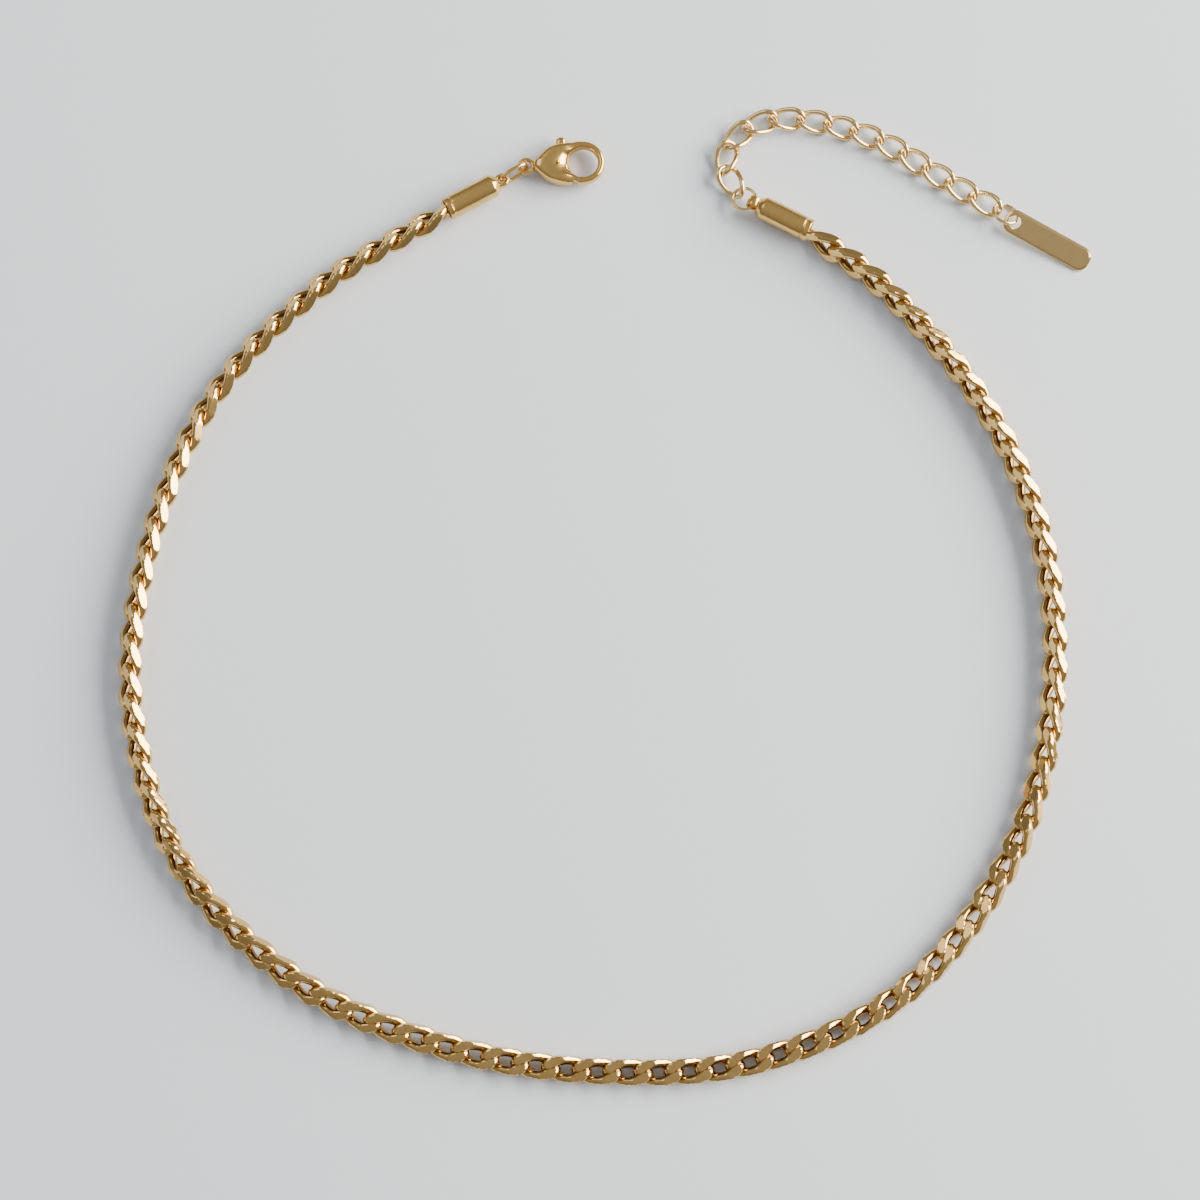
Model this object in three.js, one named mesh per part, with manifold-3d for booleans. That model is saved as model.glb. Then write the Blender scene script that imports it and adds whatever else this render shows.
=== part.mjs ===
// Charm anklet: a curb chain with an end cap on each end, a lobster clasp on the left cap, and
// a short extender chain with a small flat tag on the right cap. It lies open on a level surface.
// Units are millimetres. X runs to the right, Y away from the viewer and Z up from the surface.
import * as THREE from "three";
import { mergeVertices } from "three/addons/utils/BufferGeometryUtils.js";
import Module from "manifold-3d";

const wasm = await Module();
wasm.setup();

// Main chain
const LINK_LENGTH = 4.46; // outside, along the chain
const LINK_WIDTH = 2.72; // outside, across the chain, before its sides are cut
const LINK_WIRE = 0.79; // wire diameter
const LINK_TWIST = -60; // degrees that each end of a link is turned about the chain's line
const LINK_FLAT = 0.82; // height of the cut flats above and below the chain's middle
const LINK_SIDE_FLAT = 1.3; // distance of the cut sides from the chain's middle
const LINK_SLACK = 0.12; // how much closer two links sit than when the chain is pulled taut
const LINK_GAP = 0.1; // air round the one link where the chain's two halves meet
const LINK_STATIONS = 10;
const LINK_SIDES = 5;
const CHAIN_TOLERANCE = 0.03; // smallest detail kept where links are pressed together

// Extender chain
const EXTENDER_LENGTH = 3.7; // one link, outside
const EXTENDER_WIDTH = 2.34;
const EXTENDER_WIRE = 0.42;
const EXTENDER_TWIST = 44;
const EXTENDER_PLAY = 0.26; // how much closer two links sit than when the extender is taut
const EXTENDER_ROLL = -24; // degrees that the first link leans; the next ones lean less
const EXTENDER_LEANING = 3; // how many links lean
const EXTENDER_STATIONS = 10;
const EXTENDER_SIDES = 5;

// End caps
const CAP_RADIUS = 1.12;
const CAP_LENGTH = 5.45; // the barrel, without its lug
const CAP_CHAMFER = 0.22;
const CAP_RIM = 0.5; // length of the rim round the chain's end
const CAP_GROOVE = 0.12; // width and depth of the groove behind the rim
const CAP_BORE = 0.97; // radius of the recess that takes the chain
const CAP_BORE_DEPTH = 0.75;
const CAP_GRIP = 0.4; // how far the last link reaches into the recess
const LUG_RADIUS = 0.66;
const LUG_LENGTH = 1.0;
const LUG_HOLE_INSET = 0.56; // from the lug's tip to the middle of its hole
const LEFT_LUG_WIDTH = 0.5; // along the lug's hole
const RIGHT_LUG_WIDTH = 1.06;
const LEFT_CAP_HEADING = 28.5; // degrees from +X, seen from above, towards the lug
const RIGHT_CAP_HEADING = 152.4;
const CAP_SIDES = 14;

// Rings
const CAP_RING_DIAMETER = 2.55; // outside
const CAP_RING_WIRE = 0.32;
const CAP_RING_TILT = 7;
const TAG_RING_DIAMETER = 2.8;
const TAG_RING_WIRE = 0.32;
const TAG_RING_TILT = -32; // degrees about the tag's long axis
const TAG_RING_TURN = -21; // degrees round the ring from the tag's axis to the tag's hole
const CONNECTOR_LENGTH = 3.1; // the oval link between left cap and clasp, outside
const CONNECTOR_WIDTH = 1.7;
const CONNECTOR_WIRE = 0.32;
const CONNECTOR_TILT = 70;
const CONNECTOR_TURN = 5; // degrees that it turns away from the cap's heading
const RING_STATIONS = 14;
const RING_SIDES = 6;
const RING_CLEARANCE = 0.16; // between a ring's wire and the hole that it passes through
const BOW_CLEARANCE = 0.26; // between a ring's wire and an extender link's bow

// Tag
const TAG_LENGTH = 9.0;
const TAG_WIDTH = 2.3;
const TAG_THICKNESS = 0.36;
const TAG_CORNER = 0.8;
const TAG_BEVEL = 0.12;
const TAG_HOLE_DIAMETER = 1.36;
const TAG_HOLE_INSET = 1.0; // from the tag's end to the middle of its hole
const TAG_ROLL = 20; // degrees that its far edge is propped up by the ring below it
const TAG_HEADING = -29; // degrees from +X, seen from above

// Lobster clasp
const CLASP_EYE_RADIUS = 0.64; // to the middle of the eye's wire
const CLASP_EYE_WIRE = 0.38;
const CLASP_TAIL = 4.75; // from the middle of the mouth back to the root of the eye
const CLASP_HEIGHT = 1.9; // thickness of the body
const CLASP_WIDTH = 4.2; // width across the mouth
const HOOK_WIDTH = 0.7; // width of the metal round the mouth
const HOOK_HEIGHT = 1.15;
const HOOK_START = 118; // degrees round the mouth, counted from the clasp's own axis
const HOOK_END = -105;
const HOOK_STEPS = 14;
const HOOK_SIDES = 8;
const LEVER_HEIGHT = 0.7;
const LEVER_CLEARANCE = 0.12;
const LEVER_ARM_END = -109.5;
const LEVER_ARM_START = -172;
const LEVER_ARM_INSET = 0.06; // of the arm's inner and outer edge from the hook's
const LEVER_TRAVEL = 24; // degrees that the lever turns to open the mouth
const PIVOT_WALL = 1.0; // from the mouth's edge back to the pivot
const PIVOT_RADIUS = 0.24;
const PIN_SHARE = 0.86; // length of the riveted pin as a share of the clasp's height
const HUB_RADIUS = 0.62;
const TAB_OVERHANG = 0.45; // from the clasp's widest line out to the tab's tip
const CLASP_HEADING = 3; // degrees from +X, seen from above

// Route of the main chain's centre line seen from above, from the left cap to the right cap
const CHAIN_ROUTE = [
  [-14.88, 36.94],
  [-26.3, 29.7],
  [-36.1, 19.1],
  [-41.6, 5.5],
  [-43.0, -9.5],
  [-38.2, -24.3],
  [-27.3, -35.1],
  [-13.9, -40.9],
  [0.1, -43.1],
  [14.4, -42.1],
  [27.8, -35.8],
  [37.5, -23.5],
  [41.5, -9.5],
  [41.0, 5.0],
  [36.0, 18.0],
  [26.6, 29.7],
  [20.04, 34.75],
];

// Route of the extender seen from above, from the cap's ring to the tag's ring. It is moved as a
// whole so that it starts at the cap's ring.
const EXTENDER_ROUTE = [
  [13.2, 38.75],
  [11.85, 40.7],
  [12.12, 43.1],
  [13.92, 45.15],
  [16.55, 46.15],
  [21.75, 45.65],
  [26.95, 43.83],
  [31.45, 40.95],
  [36.15, 38.0],
  [39.25, 36.15],
];

// Roll of the chain about its own line, by share of the route
const CHAIN_ROLL = [
  { share: 0.0, roll: 34 },
  { share: 0.12, roll: 36 },
  { share: 0.22, roll: 40 },
  { share: 0.34, roll: 30 },
  { share: 0.46, roll: 10 },
  { share: 0.56, roll: 2 },
  { share: 0.66, roll: -18 },
  { share: 0.74, roll: -42 },
  { share: 0.8, roll: -56 },
  { share: 0.9, roll: -62 },
  { share: 1.0, roll: -64 },
];

// Outline of the clasp's body behind the mouth: back is a share of CLASP_TAIL, half the half
// width as a share of CLASP_WIDTH / 2, height a share of CLASP_HEIGHT
const CLASP_SECTIONS = [
  { back: 1.0, half: 0.17, height: 0.34 },
  { back: 0.93, half: 0.3, height: 0.46 },
  { back: 0.84, half: 0.52, height: 0.7 },
  { back: 0.72, half: 0.74, height: 0.9 },
  { back: 0.55, half: 0.9, height: 1.0 },
  { back: 0.38, half: 0.98, height: 0.98 },
  { back: 0.2, half: 0.97, height: 0.78 },
];
const CLASP_SIDES = 12;
const MOUTH_RADIUS = CLASP_WIDTH / 2 - HOOK_WIDTH;
const PIVOT_BACK = MOUTH_RADIUS + PIVOT_WALL;
const TAB_REACH = CLASP_WIDTH / 2 + TAB_OVERHANG;

// Outline of the lever's tab from the pivot: reach is a share of TAB_REACH, angle is in degrees
const TAB_OUTLINE = [
  { reach: 0.74, angle: 78 },
  { reach: 0.99, angle: 83 },
  { reach: 1.0, angle: 91 },
  { reach: 0.92, angle: 100 },
  { reach: 0.7, angle: 103 },
];
const SLOT_MARGIN = 8; // degrees of air beside the lever in the body's slot
const ARM_SLOT_FROM = -64; // degrees about the pivot that the arm's slot is cut between
const ARM_SLOT_TO = 26;
const ARM_SLOT_BACK = 30; // degrees about the mouth that the arm's slot runs on behind the arm

const GOLD = { color: 0xc79a55, roughness: 0.22, metalness: 1.0 };
const PALE_GOLD = { color: 0xd4ab68, roughness: 0.2, metalness: 1.0 };

const OVAL_POWER = 0.8; // 1 makes a link's oval an ellipse, less makes it fuller

const rad = THREE.MathUtils.degToRad;

// A closed mesh as a solid: shared vertices merged, so that only positions are left.
function solid(geometry) {
  const bare = geometry.clone();
  bare.deleteAttribute("normal");
  bare.deleteAttribute("uv");
  const merged = mergeVertices(bare, 1e-4);
  return new wasm.Manifold(
    new wasm.Mesh({
      numProp: 3,
      vertProperties: merged.attributes.position.array,
      triVerts: new Uint32Array(merged.index.array),
    }),
  );
}

// A solid back as a geometry.
function geometryOf(made) {
  const mesh = made.getMesh();
  const geometry = new THREE.BufferGeometry();
  geometry.setAttribute("position", new THREE.BufferAttribute(mesh.vertProperties, 3));
  geometry.setIndex(new THREE.BufferAttribute(mesh.triVerts, 1));
  geometry.computeVertexNormals();
  return geometry;
}

// Triangles between rings of points of equal count. A closed run joins its last ring to its
// first; an open one gets a fan over each end.
function skin(rings, closed) {
  const count = rings[0].length;
  const points = rings.flat();
  const faces = [];
  const spans = closed ? rings.length : rings.length - 1;
  for (let i = 0; i < spans; i++) {
    const here = i * count;
    const next = ((i + 1) % rings.length) * count;
    for (let k = 0; k < count; k++) {
      const l = (k + 1) % count;
      faces.push(here + k, next + k, next + l, here + k, next + l, here + l);
    }
  }
  if (!closed) {
    const last = (rings.length - 1) * count;
    for (let k = 1; k < count - 1; k++) {
      faces.push(0, k, k + 1, last, last + k + 1, last + k);
    }
  }
  const geometry = new THREE.BufferGeometry().setFromPoints(points);
  geometry.setIndex(faces);
  return geometry;
}

// Radius of a polygon's corners that gives it the area of a circle of this radius.
function cornerRadius(radius, sides) {
  return radius * Math.sqrt(Math.PI / ((sides / 2) * Math.sin((2 * Math.PI) / sides)));
}

// One link of bent wire. Its middle line is an oval of half length a and half width b, a little
// fuller than an ellipse, and each point of it is turned about the link's long axis X by twist
// times its share of the half length, so that neighbours cross. Each section has a side, not a
// corner, towards the link's middle. swell thickens the wire, flat cuts it off above and below
// and sideFlat at both sides.
function linkRings({ length, width, wire, swell = 0, twist, stations, sides, flat, sideFlat }) {
  const a = (length - wire) / 2;
  const b = (width - wire) / 2;
  const r = cornerRadius(wire / 2, sides) + swell;
  const fuller = (value) => Math.sign(value) * Math.abs(value) ** OVAL_POWER;
  const middle = (t) => {
    const phi = rad(twist) * fuller(Math.cos(t));
    const y = b * fuller(Math.sin(t));
    return new THREE.Vector3(a * fuller(Math.cos(t)), y * Math.cos(phi), y * Math.sin(phi));
  };
  const rings = [];
  for (let i = 0; i < stations; i++) {
    const t = (2 * Math.PI * (i + 0.5)) / stations;
    const step = 1e-3;
    const along = middle(t + step).sub(middle(t - step)).normalize();
    const phi = rad(twist) * fuller(Math.cos(t));
    const flatOut = new THREE.Vector3(fuller(Math.cos(t)) / a, fuller(Math.sin(t)) / b, 0);
    const out = flatOut.applyAxisAngle(new THREE.Vector3(1, 0, 0), phi);
    out.addScaledVector(along, -out.dot(along)).normalize();
    const side = along.clone().cross(out);
    const ring = [];
    for (let k = 0; k < sides; k++) {
      const angle = Math.PI - (2 * Math.PI * (k + 0.5)) / sides;
      const point = middle(t);
      point.addScaledVector(out, r * Math.cos(angle)).addScaledVector(side, r * Math.sin(angle));
      if (flat) point.z = THREE.MathUtils.clamp(point.z, -flat, flat);
      if (sideFlat) point.y = THREE.MathUtils.clamp(point.y, -sideFlat, sideFlat);
      ring.push(point);
    }
    rings.push(ring);
  }
  return rings;
}

// How high a link's middle lies above the surface once it is rolled about its long axis.
function seatHeight(rings, roll) {
  const low = rings.flat().map((p) => p.y * Math.sin(roll) + p.z * Math.cos(roll));
  return -Math.min(...low);
}

// Rings of points moved to a place on a route: rolled about X, turned to the heading, moved.
function placed(rings, { at, heading, roll }) {
  const frame = new THREE.Matrix4().makeRotationZ(heading);
  frame.multiply(new THREE.Matrix4().makeRotationX(roll)).setPosition(at);
  return rings.map((ring) => ring.map((p) => p.clone().applyMatrix4(frame)));
}

function routeCurve(points) {
  return new THREE.CatmullRomCurve3(points.map(([x, y]) => new THREE.Vector3(x, y, 0)));
}

// Place and heading at a distance along a route.
function along(curve, distance) {
  const share = THREE.MathUtils.clamp(distance / curve.getLength(), 0, 1);
  const tangent = curve.getTangentAt(share);
  return { point: curve.getPointAt(share), heading: Math.atan2(tangent.y, tangent.x) };
}

function rollAt(share) {
  const next = CHAIN_ROLL.findIndex((row) => row.share >= share);
  if (next <= 0) return rad(CHAIN_ROLL[0].roll);
  const from = CHAIN_ROLL[next - 1];
  const to = CHAIN_ROLL[next];
  const part = (share - from.share) / (to.share - from.share);
  return rad(THREE.MathUtils.lerp(from.roll, to.roll, part));
}

const chainCurve = routeCurve(CHAIN_ROUTE);
chainCurve.arcLengthDivisions = 2000;
const chainLength = chainCurve.getLength();
const chainLink = {
  length: LINK_LENGTH,
  width: LINK_WIDTH,
  wire: LINK_WIRE,
  twist: LINK_TWIST,
  stations: LINK_STATIONS,
  sides: LINK_SIDES,
  flat: LINK_FLAT,
  sideFlat: LINK_SIDE_FLAT,
};
const chainRings = linkRings(chainLink);
const chainCount = Math.round(chainLength / (LINK_LENGTH - 2 * LINK_WIRE - LINK_SLACK));
const chainPitch = chainLength / chainCount;

// One link of the chain in its place, made from rings that may be thicker than the link's own.
function chainLinkAt(index, rings) {
  const distance = (index + 0.5) * chainPitch;
  const { point, heading } = along(chainCurve, distance);
  const roll = rollAt(distance / chainLength);
  point.z = seatHeight(chainRings, roll);
  return solid(skin(placed(rings, { at: point, heading, roll }), true));
}

// A run of links pressed together into one body.
function chainRun(first, end) {
  const links = [];
  for (let i = first; i < end; i++) links.push(chainLinkAt(i, chainRings));
  return wasm.Manifold.union(links).asOriginal().simplify(CHAIN_TOLERANCE);
}

// A bar of round section along one axis, with its middle at a point.
function rod(radius, length, axis, at, sides) {
  const geometry = new THREE.CylinderGeometry(radius, radius, length, sides);
  geometry.rotateY(Math.PI / sides);
  if (axis === "x") geometry.rotateZ(Math.PI / 2);
  if (axis === "z") geometry.rotateX(Math.PI / 2);
  geometry.translate(...at);
  return geometry;
}

// End cap along X: the lug's tip is at the far end, the open end with its recess is at x = 0.
// The hole through the lug runs along Y.
const CAP_LUG_HOLE_X = CAP_LENGTH + LUG_LENGTH - LUG_HOLE_INSET;
function capGeometry(holeRadius, lugWidth) {
  const grooveDepth = CAP_RADIUS - CAP_GROOVE;
  const tip = CAP_LENGTH + LUG_LENGTH;
  const profile = [
    [0, tip],
    [LUG_RADIUS * 0.6, tip - LUG_RADIUS * 0.12],
    [LUG_RADIUS, tip - LUG_RADIUS * 0.55],
    [LUG_RADIUS, CAP_LENGTH],
    [CAP_RADIUS - CAP_CHAMFER, CAP_LENGTH],
    [CAP_RADIUS, CAP_LENGTH - CAP_CHAMFER],
    [CAP_RADIUS, CAP_RIM + CAP_GROOVE],
    [grooveDepth, CAP_RIM + CAP_GROOVE],
    [grooveDepth, CAP_RIM],
    [CAP_RADIUS, CAP_RIM],
    [CAP_RADIUS, 0],
    [CAP_BORE, 0],
    [CAP_BORE, CAP_BORE_DEPTH],
    [0, CAP_BORE_DEPTH],
  ];
  const points = profile.map(([r, y]) => new THREE.Vector2(r, y)).reverse();
  const body = new THREE.LatheGeometry(points, CAP_SIDES);
  body.rotateZ(-Math.PI / 2);
  const hole = rod(holeRadius, 4 * LUG_RADIUS, "y", [CAP_LUG_HOLE_X, 0, 0], 8);
  let cap = solid(body).subtract(solid(hole));
  for (const side of [-1, 1]) {
    const cheek = new THREE.BoxGeometry(2 * LUG_LENGTH, CAP_RADIUS, 2 * CAP_RADIUS);
    cheek.translate(CAP_LENGTH + LUG_LENGTH, (side * (lugWidth + CAP_RADIUS)) / 2, 0);
    cap = cap.subtract(solid(cheek));
  }
  return geometryOf(cap);
}

function ringGeometry(diameter, wire) {
  const r = cornerRadius(wire / 2, RING_SIDES);
  return new THREE.TorusGeometry((diameter - wire) / 2, r, RING_SIDES, RING_STATIONS);
}

// Tag: a plate with rounded corners about z = 0, with its hole's middle at the origin.
function tagGeometry() {
  const left = -TAG_HOLE_INSET + TAG_BEVEL;
  const right = TAG_LENGTH - TAG_HOLE_INSET - TAG_BEVEL;
  const half = TAG_WIDTH / 2 - TAG_BEVEL;
  const c = TAG_CORNER - TAG_BEVEL;
  const shape = new THREE.Shape();
  shape.absarc(right - c, half - c, c, Math.PI / 2, 0, true);
  shape.absarc(right - c, -half + c, c, 0, -Math.PI / 2, true);
  shape.absarc(left + c, -half + c, c, -Math.PI / 2, -Math.PI, true);
  shape.absarc(left + c, half - c, c, Math.PI, Math.PI / 2, true);
  const hole = new THREE.Path();
  hole.absarc(0, 0, TAG_HOLE_DIAMETER / 2 + TAG_BEVEL, 0, 2 * Math.PI, false);
  shape.holes.push(hole);
  const geometry = new THREE.ExtrudeGeometry(shape, {
    depth: TAG_THICKNESS - 2 * TAG_BEVEL,
    bevelThickness: TAG_BEVEL,
    bevelSize: TAG_BEVEL,
    bevelSegments: 1,
    curveSegments: 4,
  });
  geometry.translate(0, 0, TAG_BEVEL - TAG_THICKNESS / 2);
  return geometry;
}

// A flat plate of even thickness about z = 0 from a list of outline points.
function plate(outline, height) {
  const shape = new THREE.Shape(outline.map(([x, y]) => new THREE.Vector2(x, y)));
  const geometry = new THREE.ExtrudeGeometry(shape, { depth: height, bevelEnabled: false });
  geometry.translate(0, 0, -height / 2);
  return geometry;
}

// Outline of a pie slice about a point.
function slice(x, y, radius, from, to, steps) {
  const outline = [[x, y]];
  for (let i = 0; i <= steps; i++) {
    const angle = rad(from + ((to - from) * i) / steps);
    outline.push([x + radius * Math.cos(angle), y + radius * Math.sin(angle)]);
  }
  return outline;
}

// Outline of a band between two radii about the mouth's middle.
function band(inner, outer, from, to, steps) {
  const angles = Array.from({ length: steps + 1 }, (_, i) => rad(from + ((to - from) * i) / steps));
  const arc = (radius) => angles.map((a) => [radius * Math.cos(a), radius * Math.sin(a)]);
  return [...arc(outer), ...arc(inner).reverse()];
}

const hookMiddle = MOUTH_RADIUS + HOOK_WIDTH / 2;

// Clasp body, about the middle of its mouth, with the eye towards -X and the tab towards +Y.
function claspBody() {
  const bodyRings = CLASP_SECTIONS.map((row) => {
    const ring = [];
    for (let k = 0; k < CLASP_SIDES; k++) {
      const angle = (-2 * Math.PI * (k + 0.5)) / CLASP_SIDES;
      const y = ((row.half * CLASP_WIDTH) / 2) * Math.cos(angle);
      const z = ((row.height * CLASP_HEIGHT) / 2) * Math.sin(angle);
      ring.push(new THREE.Vector3(-row.back * CLASP_TAIL, y, z));
    }
    return ring;
  });
  const hookRings = [];
  const corner = 0.5 / Math.cos(Math.PI / HOOK_SIDES);
  for (let i = 0; i <= HOOK_STEPS; i++) {
    const angle = rad(HOOK_START + ((HOOK_END - HOOK_START) * i) / HOOK_STEPS);
    const ring = [];
    for (let k = 0; k < HOOK_SIDES; k++) {
      const around = (-2 * Math.PI * (k + 0.5)) / HOOK_SIDES;
      const radius = hookMiddle + corner * HOOK_WIDTH * Math.cos(around);
      const z = corner * HOOK_HEIGHT * Math.sin(around);
      ring.push(new THREE.Vector3(radius * Math.cos(angle), radius * Math.sin(angle), z));
    }
    hookRings.push(ring);
  }
  const eye = new THREE.TorusGeometry(
    CLASP_EYE_RADIUS,
    cornerRadius(CLASP_EYE_WIRE / 2, RING_SIDES),
    RING_SIDES,
    RING_STATIONS,
  );
  eye.translate(-CLASP_TAIL - CLASP_EYE_RADIUS, 0, 0);
  const mouth = rod(MOUTH_RADIUS, 2 * CLASP_HEIGHT, "z", [0, 0, 0], 20);
  const slotHeight = LEVER_HEIGHT + 2 * LEVER_CLEARANCE;
  const pivot = [-PIVOT_BACK, 0, 0];
  const hub = rod(HUB_RADIUS + LEVER_CLEARANCE, slotHeight, "z", pivot, 12);
  const reach = TAB_REACH + CLASP_WIDTH;
  const tabAngles = TAB_OUTLINE.map((row) => row.angle);
  const tabFrom = Math.min(...tabAngles) - SLOT_MARGIN;
  const tabTo = Math.max(...tabAngles) + LEVER_TRAVEL + SLOT_MARGIN;
  const tabSlot = plate(slice(-PIVOT_BACK, 0, reach, tabFrom, tabTo, 4), slotHeight);
  const armSlot = plate(
    slice(-PIVOT_BACK, 0, PIVOT_BACK + CLASP_WIDTH / 2, ARM_SLOT_FROM, ARM_SLOT_TO, 7),
    slotHeight,
  );
  const armRoom = plate(
    band(MOUTH_RADIUS / 2, CLASP_WIDTH, LEVER_ARM_START - ARM_SLOT_BACK, HOOK_END, 8),
    slotHeight,
  );
  const pin = rod(PIVOT_RADIUS, PIN_SHARE * CLASP_HEIGHT, "z", pivot, 10);
  return geometryOf(
    solid(skin(bodyRings, false))
      .subtract(solid(mouth))
      .subtract(solid(hub))
      .subtract(solid(tabSlot))
      .subtract(solid(armSlot).intersect(solid(armRoom)))
      .add(solid(skin(hookRings, false)))
      .add(solid(eye))
      .add(solid(pin)),
  );
}

// Clasp lever in the same place: a hub round the pin, a tab out to +Y and an arm that closes
// the mouth on the -Y side.
function claspLever() {
  const pivot = [-PIVOT_BACK, 0, 0];
  const arm = band(
    MOUTH_RADIUS + LEVER_ARM_INSET,
    CLASP_WIDTH / 2 - LEVER_ARM_INSET,
    LEVER_ARM_START,
    LEVER_ARM_END,
    6,
  );
  const tab = [
    [-PIVOT_BACK, 0],
    ...TAB_OUTLINE.map(({ reach, angle }) => [
      -PIVOT_BACK + reach * TAB_REACH * Math.cos(rad(angle)),
      reach * TAB_REACH * Math.sin(rad(angle)),
    ]),
  ];
  const hub = rod(HUB_RADIUS, LEVER_HEIGHT, "z", pivot, 12);
  const bore = rod(PIVOT_RADIUS + LEVER_CLEARANCE, 2 * LEVER_HEIGHT, "z", pivot, 10);
  return geometryOf(
    solid(plate(arm, LEVER_HEIGHT))
      .add(solid(plate(tab, LEVER_HEIGHT)))
      .add(solid(hub))
      .subtract(solid(bore)),
  );
}

const charmAnklet = new THREE.Group();

function add(parent, name, geometry, look) {
  const mesh = new THREE.Mesh(geometry, new THREE.MeshStandardMaterial(look));
  mesh.name = name;
  parent.add(mesh);
  return mesh;
}

// Main chain, in two halves that meet at the middle of the loop. The right half keeps clear of
// the left half's last link, which passes through it.
const halfway = Math.ceil(chainCount / 2);
const meeting = chainLinkAt(halfway - 1, linkRings({ ...chainLink, swell: LINK_GAP }));
add(charmAnklet, "chain_left", geometryOf(chainRun(0, halfway)), GOLD);
add(
  charmAnklet,
  "chain_right",
  geometryOf(chainRun(halfway, chainCount).subtract(meeting)),
  GOLD,
);

// End caps. A cap's recess takes the last link of the chain, and the hole in its lug is turned
// with the ring that hangs in it.
const linkOverhang = LINK_LENGTH / 2 - chainPitch / 2;
const capHeight = Math.max(
  CAP_RADIUS,
  seatHeight(chainRings, rollAt(0)),
  seatHeight(chainRings, rollAt(1)),
);
function addCap(name, { distance, outward, heading, lugWidth, lugHole, lugTurn }) {
  const end = along(chainCurve, distance);
  const out = new THREE.Vector3(Math.cos(end.heading), Math.sin(end.heading), 0);
  const direction = new THREE.Vector3(Math.cos(heading), Math.sin(heading), 0);
  const cap = add(charmAnklet, name, capGeometry(lugHole, lugWidth), GOLD);
  cap.position.copy(end.point).addScaledVector(out, outward * linkOverhang);
  cap.position.addScaledVector(direction, -CAP_GRIP);
  cap.position.z = capHeight;
  cap.rotation.set(lugTurn, 0, heading, "ZYX");
  const lug = cap.position.clone().addScaledVector(direction, CAP_LUG_HOLE_X);
  return { lug, direction, heading };
}

// How far a ring's middle line bends away from straight over half the width of a lug.
function bend(radius, width) {
  return radius - Math.sqrt(radius ** 2 - (width / 2) ** 2);
}
const capRingRadius = (CAP_RING_DIAMETER - CAP_RING_WIRE) / 2;
const capRingBend = bend(capRingRadius, RIGHT_LUG_WIDTH);
const connectorBend = bend((CONNECTOR_WIDTH - CONNECTOR_WIRE) / 2, LEFT_LUG_WIDTH);
const leftCap = addCap("end_cap_left", {
  distance: 0,
  outward: -1,
  heading: rad(LEFT_CAP_HEADING),
  lugWidth: LEFT_LUG_WIDTH,
  lugHole: (CONNECTOR_WIRE + connectorBend) / 2 + RING_CLEARANCE,
  lugTurn: rad(CONNECTOR_TILT),
});
const rightCap = addCap("end_cap_right", {
  distance: chainLength,
  outward: 1,
  heading: rad(RIGHT_CAP_HEADING),
  lugWidth: RIGHT_LUG_WIDTH,
  lugHole: (CAP_RING_WIRE + capRingBend) / 2 + RING_CLEARANCE,
  lugTurn: rad(CAP_RING_TILT),
});

// Oval connector link from the left cap's lug to the clasp's eye
const connectorReach = (CONNECTOR_LENGTH - CONNECTOR_WIRE) / 2;
const connectorFall = capHeight - CLASP_HEIGHT / 2;
const connectorPitch = Math.asin(connectorFall / (2 * connectorReach));
const connectorHeading = leftCap.heading + rad(CONNECTOR_TURN);
const connectorDirection = new THREE.Vector3(
  Math.cos(connectorHeading),
  Math.sin(connectorHeading),
  0,
);
const connector = add(
  charmAnklet,
  "connector_link",
  skin(
    linkRings({
      length: CONNECTOR_LENGTH,
      width: CONNECTOR_WIDTH,
      wire: CONNECTOR_WIRE,
      twist: 0,
      stations: RING_STATIONS,
      sides: RING_SIDES,
    }),
    true,
  ),
  GOLD,
);
connector.position
  .copy(leftCap.lug)
  .addScaledVector(connectorDirection, connectorReach - connectorBend / 2);
connector.position.z -= connectorFall / 2;
connector.rotation.set(rad(CONNECTOR_TILT), connectorPitch, connectorHeading, "ZYX");

// Lobster clasp: its eye hangs on the connector's far end
const claspFrame = new THREE.Group();
const eyeAt = connector.position.clone().addScaledVector(connectorDirection, connectorReach);
const claspHeading = rad(CLASP_HEADING);
const eyeBack = CLASP_TAIL + CLASP_EYE_RADIUS;
claspFrame.position.set(
  eyeAt.x + eyeBack * Math.cos(claspHeading),
  eyeAt.y + eyeBack * Math.sin(claspHeading),
  CLASP_HEIGHT / 2,
);
claspFrame.rotation.z = claspHeading;
charmAnklet.add(claspFrame);
add(claspFrame, "clasp_body", claspBody(), GOLD);
add(claspFrame, "clasp_lever", claspLever(), GOLD);

// Extender links, a pitch apart along their route
const extenderRings = linkRings({
  length: EXTENDER_LENGTH,
  width: EXTENDER_WIDTH,
  wire: EXTENDER_WIRE,
  twist: EXTENDER_TWIST,
  stations: EXTENDER_STATIONS,
  sides: EXTENDER_SIDES,
});
const extenderCurve = routeCurve(EXTENDER_ROUTE);
const extenderPitch = EXTENDER_LENGTH - 2 * EXTENDER_WIRE - EXTENDER_PLAY;
const extenderCount = Math.round(extenderCurve.getLength() / extenderPitch - 0.5);
function extenderRoll(index) {
  return rad(EXTENDER_ROLL * Math.max(0, 1 - index / EXTENDER_LEANING));
}
const extenderOverhang = (EXTENDER_LENGTH - EXTENDER_WIRE - extenderPitch) / 2;

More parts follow.
